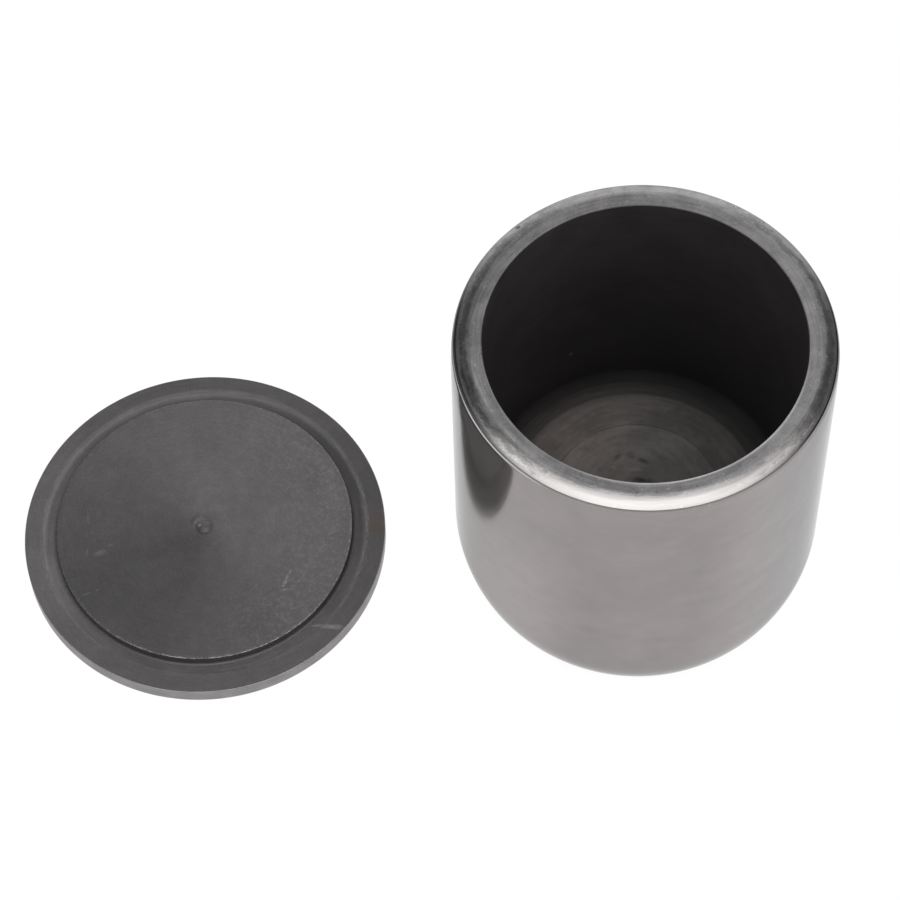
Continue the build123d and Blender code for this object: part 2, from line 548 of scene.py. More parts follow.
class Finish:
    """Node tree of one finish, with the coordinates of a piece turned about a centre, in millimetres."""

    def __init__(self, name, centre=(0.0, 0.0)):
        self.material, self.tree = new_tree(name)
        self.centre = centre
        self.coordinates = self.node("TexCoord").outputs["Object"]
        shift = (-centre[0] / MM, -centre[1] / MM, 0)
        moved = {"Vector": self.coordinates, "Location": shift, "Scale": (1 / MM,) * 3}
        self.place = self.node("Mapping", moved).outputs[0]
        x, y, self.height = self.node("SeparateXYZ", {0: self.place}).outputs
        squares = self.calc("ADD", self.calc("MULTIPLY", x, x), self.calc("MULTIPLY", y, y))
        self.radius = self.calc("SQRT", squares)
        off_axis = self.calc("MAXIMUM", self.radius, NEVER_ON_AXIS)
        self.east, self.north = self.calc("DIVIDE", x, off_axis), self.calc("DIVIDE", y, off_axis)
        self.along = self.calc("SUBTRACT", self.radius, self.height)

    def node(self, kind, inputs=None, **settings):
        """Node of this tree."""
        return add(self.tree, kind, inputs, **settings)

    def calc(self, operation, first, second=0.0):
        """Math node of this tree."""
        return math_of(self.tree, operation, first, second)

    def fade(self, value, start, stop, low=0.0, high=1.0):
        """Smooth step of this tree."""
        return fade(self.tree, value, start, stop, low, high)

    def within(self, value, rise_from, rise_to, fall_from, fall_to):
        """Smooth window: 1 between rise_to and fall_from, 0 outside rise_from and fall_to."""
        return self.product(self.fade(value, rise_from, rise_to), self.fade(value, fall_to, fall_from))

    def apart(self, value, middle):
        """How far a value of this tree is from the middle one."""
        return apart(self.tree, value, middle)

    def spread(self, value, low, high):
        """Value from 0 to 1 spread evenly from low to high."""
        return self.node("MapRange", {"Value": value, "To Min": low, "To Max": high}).outputs["Result"]

    def product(self, *factors):
        """All factors multiplied."""
        result = factors[0]
        for factor in factors[1:]:
            result = self.calc("MULTIPLY", result, factor)
        return result

    def mix(self, share, first, second):
        """First value where the share is 0, second where it is 1."""
        return self.node("Mix", {0: share, 2: first, 3: second}).outputs[0]

    def mix_colours(self, share, first, second):
        """First colour where the share is 0, second where it is 1."""
        return self.node("Mix", {0: share, 6: first, 7: second}, data_type="RGBA").outputs[2]

    def towards(self, east_part, north_part):
        """Near 1 on the side of the axis that lies in a direction, and near -1 opposite."""
        return self.calc("ADD", self.calc("MULTIPLY", self.east, east_part),
                         self.calc("MULTIPLY", self.north, north_part))

    def lathe(self, round_by, along_by):
        """Turned coordinates: marks about 30 / round_by mm long round the piece and 1 / along_by mm wide."""
        parts = {0: self.calc("MULTIPLY", self.east, round_by),
                 1: self.calc("MULTIPLY", self.north, round_by),
                 2: self.calc("MULTIPLY", self.along, along_by)}
        return self.node("CombineXYZ", parts).outputs[0]

    def noise(self, vector, scale=1.0, detail=2.0, roughness=0.5):
        """Noise around a half."""
        inputs = {"Vector": vector, "Scale": scale, "Detail": detail, "Roughness": roughness}
        return self.node("TexNoise", inputs).outputs["Fac"]

    def contrast(self, noise, low, high, reach=0.18):
        """Noise near a half spread smoothly from low to high over a half plus or minus the reach."""
        return self.fade(noise, 0.5 - reach, 0.5 + reach, low, high)

    def mark(self, spot, length, width, turn=None, blur=0.6, depth=3.0):
        """Soft ellipse on the surface at a spot in metres; sizes in millimetres, turn in degrees about Z.

        With no turn given, the ellipse lies along the circle through the spot."""
        if turn is None:
            turn = 90 + math.degrees(math.atan2(spot.y - self.centre[1], spot.x - self.centre[0]))
        halves = (length / 2 * MM, width / 2 * MM, depth / 2 * MM)
        laid = {"Vector": self.coordinates, "Location": spot, "Rotation": (0, 0, math.radians(turn)),
                "Scale": halves}
        centred = self.node("Mapping", laid, vector_type="TEXTURE").outputs[0]
        away = self.node("VectorMath", {0: centred}, operation="LENGTH").outputs["Value"]
        return self.fade(away, 1.0, 1.0 - blur)

    def band(self, radius, width):
        """Soft band about the axis, 1 on its radius and 0 at half its width to either side."""
        return self.fade(self.apart(self.radius, radius), width / 2, 0.0)

    def marks_at(self, level, pixels, *size, **options):
        """Marks of one size on a level face, at the places that the pixels show."""
        return [self.mark(seen_at(pixel, level), *size, **options) for pixel in pixels]

    def own_marks(self, level, marks, **options):
        """Marks on a level face, each given by its pixel, its length, its width and maybe its turn."""
        return [self.mark(seen_at(pixel, level), *size, **options) for pixel, *size in marks]

    def with_marks(self, value, marks, gain, broken_by=None):
        """Value plus the gain wherever a mark lies. A pattern given as broken_by breaks the marks up."""
        amount = gain if broken_by is None else self.calc("MULTIPLY", broken_by, gain)
        for mark in marks:
            value = self.calc("ADD", value, self.calc("MULTIPLY", mark, amount))
        return value

    def tell(self, part):
        """Says what has been made and how large the tree is by now."""
        print(f"{self.material.name}: {part}, {len(self.tree.nodes)} nodes so far")

    def finish(self, tint, shade, roughness, metallic, bumps=(), sheen=1.0, level=0.5):
        """Principled surface: tint times shade, and heights in millimetres as bumps laid over each other."""
        colour = self.node("VectorMath", {0: tint, "Scale": shade}, operation="SCALE").outputs[0]
        surface = {"Base Color": colour, "Roughness": roughness, "Metallic": metallic}
        shader = self.node("BsdfPrincipled", surface)
        shader.inputs["Specular Tint"].default_value = (sheen, sheen, sheen, 1)
        shader.inputs["Specular IOR Level"].default_value = level
        normal = None
        for height, size in bumps:
            inputs = {"Height": height, "Distance": size * MM}
            if normal:
                inputs["Normal"] = normal
            normal = self.node("Bump", inputs).outputs[0]
        if normal:
            self.tree.links.new(normal, shader.inputs["Normal"])
        self.node("OutputMaterial", {"Surface": shader.outputs[0]})
        self.tell("done")
        return self.material


print("tools:", ", ".join(name for name in vars(Finish) if not name.startswith("_")))


# %% [markdown]
# ### Polished wall and rim
#
# The outside is turned, then polished on the lathe until it mirrors. It stays a soft mirror with a
# little grey body under the shine. Wall and rim are one material, because the polish runs on over
# the corner, and the height says where the rim begins. These are the noises that it is mixed from:
# rings and streaks that follow the lathe, and clouds, blotches, smears and grain.

# %% Noises of the polished outside
RIM_BEGINS, RIM_FULL = H - 1.6, H - 0.9

polished = Finish("polished_graphite")
on_rim = polished.fade(polished.height, RIM_BEGINS, RIM_FULL)
rings_of_polish = polished.noise(polished.lathe(9, 2.2), detail=3)
long_streaks = polished.noise(polished.lathe(3.5, 2.6), detail=3)
fine_rings = polished.noise(polished.lathe(14, 7.0), detail=2)
cloud = polished.noise(polished.place, 0.07, 3)
blotch = polished.noise(polished.place, 0.35, 4, 0.6)
smears = polished.noise(polished.lathe(8, 0.35), detail=4, roughness=0.6)
grain = polished.noise(polished.place, 2.6, 3, 0.6)
polished.tell("noises")

# %% [markdown]
# The wall is almost even. Both flanks are painted a little lighter, a painted reflection of the
# bright table beside the pot. It has one thin level scratch near the top, and faint smudges where it
# was held, which are ellipses broken up by the smears.

# %% Shade of the wall
wall_scratch = (633, 537)
wall_smudges = [(762, 572), (778, 562), (590, 630), (655, 640)]

# Painted reflection: both flanks are painted lighter, where the table beside the pot shines in them.
left_flank_painted_light = polished.product(polished.within(polished.east, -1.0, -0.8, -0.75, -0.3),
                              polished.fade(polished.height, 48, 25, 0.3, 1.0))
right_flank_painted_light = polished.within(polished.east, 0.2, 0.6, 0.75, 1.0)
wall_shade = polished.product(polished.contrast(cloud, 0.96, 1.04),
                              polished.contrast(smears, 0.97, 1.025),
                              polished.contrast(rings_of_polish, 0.99, 1.01),
                              polished.spread(left_flank_painted_light, 1.0, 1.24),
                              polished.spread(right_flank_painted_light, 1.0, 1.26))
smudges = [polished.mark(on_cylinder(pixel, pot_radius), 9.0, 9.0, turn=0, blur=1.0, depth=4.0)
           for pixel in wall_smudges]
scratch = polished.mark(on_cylinder(wall_scratch, pot_radius), 3.6, 3.0, turn=0, blur=0.7, depth=0.2)
wall_shade = polished.with_marks(wall_shade, smudges, -0.08, broken_by=polished.contrast(smears, 0.0, 1.6))
wall_shade = polished.with_marks(wall_shade, [scratch], -0.16)
polished.tell(f"the wall with {len(smudges)} smudges")

# %% [markdown]
# The rim is duller and more blotched than the wall, where fingers, the lid and the bench have
# touched it. Only the shoulder's front, where the softbox's highlight lies, is calm and even, and
# there its shade is raised a little, a painted highlight. The rim's right side and the back of its
# shoulder are painted lighter, painted light. The specks are the tops of a noise, cut off by a
# short steep step.

# %% Shade of the rim
SHOULDER_BEGINS, SHOULDER_FULL = 26.9, 28.0      # radii

on_shoulder = polished.fade(polished.radius, SHOULDER_BEGINS, SHOULDER_FULL)
front_highlight_zone = polished.product(on_shoulder, polished.fade(polished.north, -0.3, -0.75))
back_shoulder_painted_light = polished.product(on_shoulder, polished.fade(polished.north, 0.3, 0.9))
blotched = polished.product(polished.contrast(blotch, 0.86, 1.12),
                            polished.contrast(long_streaks, 0.88, 1.1),
                            polished.contrast(grain, 0.96, 1.04))
light_specks = polished.fade(polished.noise(polished.place, 1.7, 2), 0.66, 0.72, 0.0, 0.3)
dark_specks = polished.product(polished.fade(polished.noise(polished.place, 2.3, 2), 0.33, 0.27, 0.0, 0.35),
                               polished.spread(front_highlight_zone, 1.0, 0.0))
# Painted highlight: the shoulder's front, under the softbox's highlight, is evened out and raised to 1.08.
rim_shade = polished.mix(front_highlight_zone, blotched, 1.08)
rim_shade = polished.calc("ADD", rim_shade, polished.calc("SUBTRACT", light_specks, dark_specks))
# Painted light: the rim's right side and the back of its shoulder are painted lighter.
rim_shade = polished.product(rim_shade, polished.fade(polished.east, 0.5, 1.0, 1.0, 1.1),
                             polished.spread(back_shoulder_painted_light, 1.0, 1.22))
polished.tell("the rim's blotches and specks")

# %% [markdown]
# Up to a ragged line the land is lighter at the front left. Outside that line the shoulder's sides
# are painted darker, a painted shade for the dark room they mirror. At the front two soft bands
# reshape the highlight, a painted highlight inside and a painted shade outside. The line is ragged
# because noise is added to the radius before the step is taken.

# %% Painted shade and light on the rim's shoulder, and its lighter land
PAINTED_DARK_BAND_RADIUS = 28.25
LIGHT_LAND_RADIUS, LIGHT_LAND_WIDE = 26.8, 1.5
PAINTED_LIGHT_RING, PAINTED_DARK_RING = (27.1, 0.8), (27.85, 1.2)      # radius and width

ragged = polished.spread(polished.noise(polished.place, 0.33, 5, 0.7), -1.6, 1.6)
ragged = polished.calc("ADD", polished.radius, ragged)
beside = polished.calc("ABSOLUTE", polished.east)
# Painted shade: a dark band and the sides of the shoulder, where the dark room is mirrored.
dark_band_painted_shade = polished.product(polished.fade(polished.apart(ragged, PAINTED_DARK_BAND_RADIUS), 0.55, 0.35),
                             polished.fade(beside, 0.3, 0.7), polished.contrast(long_streaks, 0.5, 1.1))
dark_side_painted_shade = polished.product(polished.fade(ragged, 27.1, 27.6), polished.fade(polished.radius, 29.15, 28.7),
                             polished.within(polished.north, -0.75, -0.5, -0.25, 0.0))
light_land_front_left = polished.product(polished.band(LIGHT_LAND_RADIUS, LIGHT_LAND_WIDE), polished.fade(ragged, 27.7, 27.3),
                               polished.contrast(blotch, 0.5, 1.2),
                               polished.fade(polished.east, -0.45, -0.7),
                               polished.fade(polished.north, -0.1, -0.3))
# Painted highlight and painted shade: a light band inside and a dark band outside at the front.
at_front = polished.fade(polished.north, -0.7, -0.9)
light_ring_painted_highlight = polished.product(polished.band(*PAINTED_LIGHT_RING), at_front)
dark_ring_painted_shade = polished.product(polished.band(*PAINTED_DARK_RING), at_front)
for rim_band, gain in ((dark_band_painted_shade, -0.36), (dark_side_painted_shade, -0.21), (light_land_front_left, 0.42), (light_ring_painted_highlight, 0.2),
                  (dark_ring_painted_shade, -0.16)):
    rim_shade = polished.with_marks(rim_shade, [rim_band], gain)
polished.tell("the shoulder's painted shade and light")

# %% [markdown]
# The outer corner is painted as a thin dark line at left and right, a painted shade for the dark
# room it mirrors there, and light specks, painted glints, follow it on the two sides of the front.
# The line is a little further out on the right than on the left.

# %% Outer corner of the rim
CORNER_RADIUS, CORNER_DRIFT = 29.38, 0.09
GLINTS_RADIUS, GLINTS_WIDE = 28.95, 1.1

# Painted glints: light specks along the corner on the two sides of the front.
corner_painted_glints = polished.product(polished.fade(polished.noise(polished.place, 2.7, 3, 0.6), 0.52, 0.64),
                                 polished.band(GLINTS_RADIUS, GLINTS_WIDE),
                                 polished.within(polished.north, -0.85, -0.65, -0.5, -0.3))
rim_shade = polished.with_marks(rim_shade, [corner_painted_glints], 0.55)
line_radius = polished.calc("ADD", polished.calc("MULTIPLY", polished.east, CORNER_DRIFT), CORNER_RADIUS)
corner_sides = polished.calc("ADD", polished.fade(polished.east, -0.83, -0.95),
                             polished.fade(polished.east, 0.7, 0.85))
# Painted shade: the dark line along the outer corner at left and right.
corner_painted_dark_line = polished.product(polished.fade(polished.apart(polished.radius, line_radius), 0.17, 0.05),
                               corner_sides, polished.fade(polished.north, 0.5, 0.1))
rim_shade = polished.product(rim_shade, polished.spread(corner_painted_dark_line, 1.0, 0.3))
polished.tell("the rim's outer corner")

# %% [markdown]
# Knocks have left nicks, which are dark because they are rough and catch no light. Light spots on
# the left and dark streaks on both sides are rubs that follow the circle.

# %% Nicks, spots and streaks on the rim
outer_nick = (518, 226)
front_nick = (637, 492.5)
left_specks = [(460, 324), (461, 347), (468, 372)]
right_scratches = [(819, 304), (823, 311)]
left_light_spots = [(474, 322), (469, 345), (481, 303), (471, 362)]
right_dark_streaks = [(801, 262), (811, 279), (820, 297), (826, 318), (828, 336)]
left_dark_streaks = [(462, 372), (467, 385), (461, 350)]

nicks = [polished.mark(seen_at(outer_nick, pot_height), 1.3, 0.8, turn=35, blur=0.7),
         polished.mark(seen_at(front_nick, pot_height), 1.2, 0.22, turn=10)]
nicks += polished.marks_at(pot_height, left_specks, 0.5, 0.25, turn=75)
nicks += polished.marks_at(pot_height, right_scratches, 1.2, 0.3, turn=100)
spots = polished.marks_at(pot_height, left_light_spots, 4.2, 1.5, blur=0.9)
streak_level = pot_height - shoulder_fall / 2 * MM
streaks = polished.marks_at(streak_level, right_dark_streaks + left_dark_streaks, 3.6, 0.55, blur=0.9)
rim_shade = polished.with_marks(rim_shade, nicks, -0.6)
rim_shade = polished.with_marks(rim_shade, spots, 0.13, broken_by=polished.contrast(blotch, -0.4, 1.6))
rim_shade = polished.with_marks(rim_shade, streaks, -0.2)
polished.tell(f"{len(nicks)} nicks, {len(spots)} light spots and {len(streaks)} dark streaks")

# %% [markdown]
# The edge of the mouth is rougher and painted dark at the back, a painted shade, and it has a
# painted highlight at the front. On the left side of the front the rim's outer corner has a painted
# light line, a painted reflection of the white table, with a painted shade under it.

# %% Mouth, and the painted light and shade at the corner
# Painted shade at the back of the mouth's edge, which is also rougher there.
mouth_edge_rough_painted_dark = polished.product(polished.fade(polished.radius, bore + 0.3, bore + 0.1),
                              polished.fade(polished.north, -0.3, 0.1))
# Painted highlight along the mouth's edge at the front.
mouth_painted_highlight = polished.product(polished.fade(polished.radius, bore + 0.45, bore + 0.2),
                             polished.fade(polished.towards(0.5, -0.87), 0.4, 0.95))
rim_shade = polished.product(rim_shade, polished.spread(mouth_edge_rough_painted_dark, 1.0, 0.25))
rim_shade = polished.with_marks(rim_shade, [mouth_painted_highlight], 1.1)

# Painted reflection: a light line on the corner's lower arc at the front left.
corner_painted_reflection = polished.product(polished.within(polished.height, H - 1.1, H - 1.0, H - 0.75, H - 0.65),
                               polished.fade(polished.east, -0.5, -0.65),
                               polished.fade(polished.north, -0.25, -0.45))
# Painted shade: a dark line under that light line.
under_corner_painted_shade = polished.product(polished.within(polished.height, H - 1.55, H - 1.4, H - 1.1, H - 0.95),
                                polished.fade(polished.east, -0.65, -0.75),
                                polished.fade(polished.north, 0.05, -0.1))
shade = polished.mix(on_rim, wall_shade, rim_shade)
shade = polished.with_marks(shade, [corner_painted_reflection], 0.8)
shade = polished.product(shade, polished.spread(under_corner_painted_shade, 1.0, 0.45))
polished.tell("the mouth and the corner's painted light and shade")

# %% [markdown]
# The wall is slightly warm, except on the right, and the rim is a touch cooler. At the front of the
# shoulder, where the highlight lies, the rim is tinted a warm grey, a painted tint of the highlight.
# The rim is also rougher, and only it has a relief that can be seen. Nicks and the mouth's edge are
# roughest.

# %% Colour, roughness and relief
WARM, NEUTRAL = (0.336, 0.311, 0.309, 1), (0.336, 0.326, 0.326, 1)
COOL, HIGHLIGHT_WARM_GREY = (0.296, 0.289, 0.294, 1), (0.300, 0.289, 0.284, 1)
WALL_METAL, RIM_METAL = 0.76, 0.95

hue = polished.mix_colours(polished.fade(polished.east, 0.45, 0.8), WARM, NEUTRAL)
hue = polished.mix_colours(on_rim, hue, COOL)
# Painted tint of the highlight: the shoulder's front is tinted warm where the highlight lies.
hue = polished.mix_colours(polished.product(front_highlight_zone, on_rim), hue, HIGHLIGHT_WARM_GREY)
rim_rough = polished.calc("ADD", polished.contrast(long_streaks, 0.17, 0.24),
                          polished.calc("MULTIPLY", front_highlight_zone, 0.12))
rough = polished.mix(on_rim, polished.contrast(cloud, 0.1, 0.135), rim_rough)
rough = polished.with_marks(rough, [mouth_edge_rough_painted_dark, *nicks], 0.4)
metal = polished.mix(on_rim, WALL_METAL, RIM_METAL)
relief_share = polished.calc("MULTIPLY", on_rim, polished.spread(on_shoulder, 1.0, 0.12))
bumps = [(polished.calc("MULTIPLY", polished.calc("SUBTRACT", height, 0.5), relief_share), size)
         for height, size in ((blotch, 0.05), (long_streaks, 0.018), (fine_rings, 0.004))]
polished_graphite = polished.finish(hue, shade, rough, metal, bumps, sheen=0.65, level=0.15)

# %% [markdown]
# ### The bore
#
# The inside is bored and left dull. Its shade is painted: darker downwards and into the corner at
# the foot, painted shade where little light comes back out, and a little lighter on its left and
# right sides, painted light.

# %% Bored graphite
BORE_TINT = (0.030, 0.0265, 0.0275)
speck_in_bore = (571, 354)

bored = Finish("bored_graphite")
bore_rings = bored.noise(bored.lathe(6, 1.6), detail=3)
bore_cloud = bored.noise(bored.place, 0.12, 3)
# Painted shade downwards and into the foot's corner, and painted light on the left and right sides.
depth = bored.fade(bored.height, corner_z + 6, H, 0.72, 1.62)
foot_painted_shade = bored.fade(bored.height, corner_z + 1.0, corner_z - 1.0, 1.0, 0.62)
left_painted_light = bored.fade(bored.east, 0.0, -0.9, 1.0, 1.65)
right_painted_light = bored.fade(bored.east, 0.5, 0.95, 1.0, 1.3)
shade = bored.product(depth, foot_painted_shade, left_painted_light, right_painted_light, bored.contrast(bore_rings, 0.93, 1.07),
                      bored.contrast(bore_cloud, 0.9, 1.1))
speck = bored.mark(on_cylinder(speck_in_bore, bore * MM, side=1), 1.3, 0.9, turn=0, blur=0.9, depth=0.9)
shade = bored.with_marks(shade, [speck], 3.5)
rough = bored.fade(bored.height, corner_z + 1.0, corner_z - 1.0, 0.55, 0.95)
bore_graphite = bored.finish(BORE_TINT, shade, rough, 0.0, [(bore_rings, 0.01)], level=0.35)

# %% [markdown]
# ### The floor
#
# The boring tool's last pass has left flat rings on the floor. It is painted lightest at the left
# and falling off into the trough, painted light and painted shade, and it is darker round the
# middle, smudged and rubbed there. The step at the land's edge is painted as a dark line on its outer
# side, strongest at back and front, and a light one on its inner side, strongest at left and right.

# %% Floor's rings and steps
TROUGH_RADIUS, TROUGH_WIDE = 21.1, 2.0

floor = Finish("floor_graphite")
floor_rings = floor.noise(floor.lathe(3, 1.1), detail=3, roughness=0.6)
floor_grain = floor.noise(floor.lathe(16, 5.0), detail=2)
floor_cloud = floor.noise(floor.place, 0.22, 3, 0.6)
floor_blot = floor.noise(floor.place, 0.75, 4, 0.65)
ragged = floor.calc("ADD", floor.radius, floor.spread(floor_cloud, -1.3, 1.3))
# Painted shade into the trough; a little darker outside the land's step.
steps = floor.product(floor.fade(ragged, ring_radius + 2.7, ring_radius - 1.6, 0.24, 1.0),
                      floor.fade(ragged, land_radius + 0.7, land_radius - 0.4, 0.84, 1.0),
                      floor.spread(floor.band(TROUGH_RADIUS, TROUGH_WIDE), 1.0, 0.66))
# Painted light: lighter towards the left.
leftward_painted_light = floor.fade(floor.product(floor.east, floor.radius), -14.0, 16.0, 1.62, 0.88)
middle = floor.product(floor.fade(floor.radius, 14.5, 12.0, 1.0, 0.83),
                       floor.fade(floor.radius, 10.0, 5.0, 1.0, 0.8))
shade = floor.product(steps, leftward_painted_light, middle, floor.contrast(floor_rings, 0.9, 1.12),
                      floor.contrast(floor_grain, 0.94, 1.06), floor.contrast(floor_cloud, 0.84, 1.16))
floor.tell("rings and steps")

# %% Marks on the floor
middle_smudges = [((617, 457), 3.4, 1.5, 45), ((632, 455), 3.4, 2.0, 0), ((643, 461), 2.8, 1.3, -25),
                  ((642, 481), 7.5, 2.6, -8)]      # pixel, length, width and turn
middle_light, middle_left = (634, 469), (614, 468)
THIN_ARC_RADIUS, THIN_ARC_WIDE = 22.5, 0.6

floor_top = land_z * MM
smudges = floor.own_marks(floor_top, middle_smudges, blur=0.9)
shade = floor.with_marks(shade, smudges, -0.7, broken_by=floor.contrast(floor_blot, 0.4, 1.1))
rubs = [floor.mark(seen_at(middle_light, floor_top), 5.0, 1.6, turn=5, blur=0.8),
        floor.mark(seen_at(middle_left, floor_top), 1.6, 0.9, turn=-35, blur=0.7)]
shade = floor.with_marks(shade, rubs, 0.3)

broad_arc = floor.product(floor.band(ring_radius, 0.8), floor.contrast(floor_blot, 0.2, 1.0))
thin_arc = floor.product(floor.band(THIN_ARC_RADIUS, THIN_ARC_WIDE), floor.contrast(floor_cloud, -0.4, 0.9),
                         floor.fade(floor.east, 0.2, -0.4))
shade = floor.with_marks(shade, [broad_arc, thin_arc], 0.25)
far_or_near = floor.fade(floor.calc("ABSOLUTE", floor.east), 0.6, 0.35)
# Painted shade and painted light on the land's step: a dark line outside and a light one inside.
dark_step_painted_shade = floor.product(floor.band(land_radius + 0.2, 0.6), far_or_near)
light_step_painted_light = floor.product(floor.band(land_radius - 0.1, 0.6), floor.spread(far_or_near, 1.0, 0.2),
                           floor.contrast(floor_cloud, 0.0, 1.0))
shade = floor.with_marks(shade, [dark_step_painted_shade], -0.2)
shade = floor.with_marks(shade, [light_step_painted_light], 0.18)
floor.tell(f"{len(smudges)} smudges and {len(rubs)} rubs")

# %% Floor's colour and roughness
REDDISH, GREYISH = (0.088, 0.077, 0.073, 1), (0.079, 0.075, 0.072, 1)

hue = floor.mix_colours(floor.fade(floor.east, -0.8, 0.8), REDDISH, GREYISH)
rough = floor.fade(floor.radius, 19.5, 22.5, 0.5, 0.9)
floor_bumps = [(floor_rings, 0.03), (floor_grain, 0.006)]
floor_graphite = floor.finish(hue, shade, rough, 0.0, floor_bumps, level=0.4)


# %% [markdown]
# ### The lid's disc
#
# The lid's faces were turned and hardly polished. The disc has a painted sheen that fans out from
# the nib, lightest towards the back right and dark towards the front left, with a fine grain over
# all. A wedge at the front left is painted darkest, painted shade, and towards the right the face is
# flecked.

# %% Painted sheen of the disc
def turned_face(name):
    """Turned and hardly polished face of the lid: its tree, its shade, its grain and its rings."""
    face = Finish(name, lid_centre)
    grain = face.noise(face.place, 3.2, 4, 0.7)
    rings = face.noise(face.lathe(5, 2.4), detail=3)
    cloud = face.noise(face.place, 0.16, 4, 0.6)
    patch = face.noise(face.place, 0.6, 3, 0.6)
    shade = face.product(face.contrast(grain, 0.86, 1.14), face.contrast(rings, 0.96, 1.04),
                         face.contrast(cloud, 0.93, 1.07), face.contrast(patch, 0.95, 1.05))
    return face, shade, grain, rings


disc, shade, grain, rings = turned_face("lid_disc_graphite")
to_back_right = disc.towards(0.68, 0.73)
to_front_right = disc.towards(0.7, -0.71)
# Painted sheen: the fan from the nib, light towards the back right and dark towards the front left.
fan = disc.mix(disc.fade(disc.radius, 0.3, 4.0), 0.96, disc.fade(to_back_right, -1.1, 0.8, 0.77, 1.42))
# Painted shade: the darkest wedge at the front left.
wedge_painted_shade = disc.product(disc.fade(to_back_right, -0.75, -0.97), disc.fade(disc.radius, 0.8, 2.0))
flecks = disc.product(disc.fade(disc.noise(disc.place, 1.1, 5, 0.8), 0.51, 0.57),
                      disc.fade(disc.radius, 8.0, 22.0), disc.fade(disc.east, -0.1, 0.8, 0.15, 1.0))
shade = disc.product(shade, fan)
shade = disc.with_marks(shade, [wedge_painted_shade], -0.1)
shade = disc.with_marks(shade, [flecks], 0.4)
disc.tell("sheen and flecks")

# %% [markdown]
# The parting tool left a nib with a groove round it. The groove is painted dark where it turns
# away from the light, the nib is painted darker at the front right and lighter at the back, and a
# small painted highlight lies on it. Beside it at the back left is a burr with a painted light top
# and a painted dark foot.

# %% Painted light and shade of the nib and burr
BURR_FOOT_RADIUS, BURR_TOP_RADIUS = 2.5, 1.9
nib_highlight_pixel = (199.4, 525.4)

disc_level = disc_top * MM
on_nib = disc.fade(disc.radius, pip_radius + 0.05, pip_radius - 0.15)
# Painted shade at the nib's front right, painted light at its back, and a painted highlight.
nib_front_painted_shade = disc.product(on_nib, disc.fade(to_front_right, -0.3, 0.9, 0.4, 1.0))
nib_back_painted_light = disc.product(on_nib, disc.fade(disc.north, -0.6, 0.4))
nib_painted_highlight = disc.mark(seen_at(nib_highlight_pixel, disc_level), 1.0, 0.85, turn=30, blur=0.7)
# Painted shade in the nib's groove and on the burr's foot; painted light on the burr's top.
nib_groove_painted_shade = disc.product(disc.band(pip_radius + 0.18, 0.6), disc.fade(to_back_right, 0.8, -0.7, 0.35, 1.0))
burr_foot_painted_shade = disc.product(disc.band(BURR_FOOT_RADIUS, 0.5), disc.fade(to_front_right, -0.85, -0.98))
burr_top_painted_light = disc.product(disc.band(BURR_TOP_RADIUS, 0.5), disc.fade(to_front_right, -0.8, -0.96))
for form, gain in ((nib_front_painted_shade, -0.2), (nib_back_painted_light, 0.25), (burr_top_painted_light, 0.1), (nib_painted_highlight, 1.4),
                   (nib_groove_painted_shade, -0.3), (burr_foot_painted_shade, -0.3)):
    shade = disc.with_marks(shade, [form], gain)
disc.tell("nib and burr")

# %% [markdown]
# Scratches are given by pixel, length, width and turn. The grain breaks them up, so that they look
# rubbed and not drawn. Near the edge at the upper right the disc is scuffed, and round its front
# right the edge itself is chipped, with the chips painted bright as glints.

# %% Scratches, scuffs and chips of the disc
zigzag = [((290, 572), 1.4, 0.4, 65), ((287, 577), 1.3, 0.6, 65), ((285, 582), 1.6, 1.0, 65),
          ((283, 586), 0.8, 0.5, 30), ((284.5, 589.5), 1.3, 0.4, 0)]
left_marks = [((100, 553), 3.0, 1.6, 20), ((87, 553), 2.4, 0.35, 85), ((110, 545), 1.8, 0.4, 20),
              ((88, 518), 3.4, 0.3, 95), ((91, 455), 1.3, 0.4, 45)]
low_marks = [((97, 590), 1.2, 0.35, 35), ((86, 594), 2.2, 0.35, 20), ((79, 599), 1.2, 0.35, 70)]
right_scuffs = [(308, 452), (322, 466), (332, 482), (338, 500)]

marks = disc.own_marks(disc_level, zigzag, blur=0.8)
shade = disc.with_marks(shade, marks, 1.3, broken_by=disc.contrast(grain, 0.5, 1.3))
marks = disc.own_marks(disc_level, left_marks + low_marks, blur=0.9)
shade = disc.with_marks(shade, marks, 0.75, broken_by=disc.contrast(grain, 0.4, 1.2))
scuffs = disc.marks_at(disc_level, right_scuffs, 8.0, 5.0, blur=1.0)
shade = disc.with_marks(shade, scuffs, 0.17)
# Chips in the edge, with painted glints that show only towards the front right.
chips_with_painted_glints = disc.product(disc.fade(disc.noise(disc.lathe(34, 0.5), detail=2), 0.5, 0.6),
                     disc.fade(disc.radius, disc_radius - 0.45, disc_radius - 0.2),
                     disc.fade(to_front_right, -0.5, 0.5))
shade = disc.with_marks(shade, [chips_with_painted_glints], 1.0)
lid_disc_graphite = disc.finish((0.076, 0.071, 0.073), shade, disc.contrast(grain, 0.36, 0.5), 0.0,
                                [(grain, 0.012), (rings, 0.006)])

# %% [markdown]
# ### The lid's ring
#
# The ring is smoother than the disc. It is painted lighter on the left and darker on the right and
# at the front, painted light and shade. A light line runs round it where it has rubbed on the mouth
# of the crucible, broken into dashes at left and right. The groove inside that line is painted dark
# at the back, where its wall faces away from the light, and light at the front, and darker near the
# disc's foot, painted shade.

# %% Ring and its light line
ring, shade, grain, rings = turned_face("lid_face_graphite")
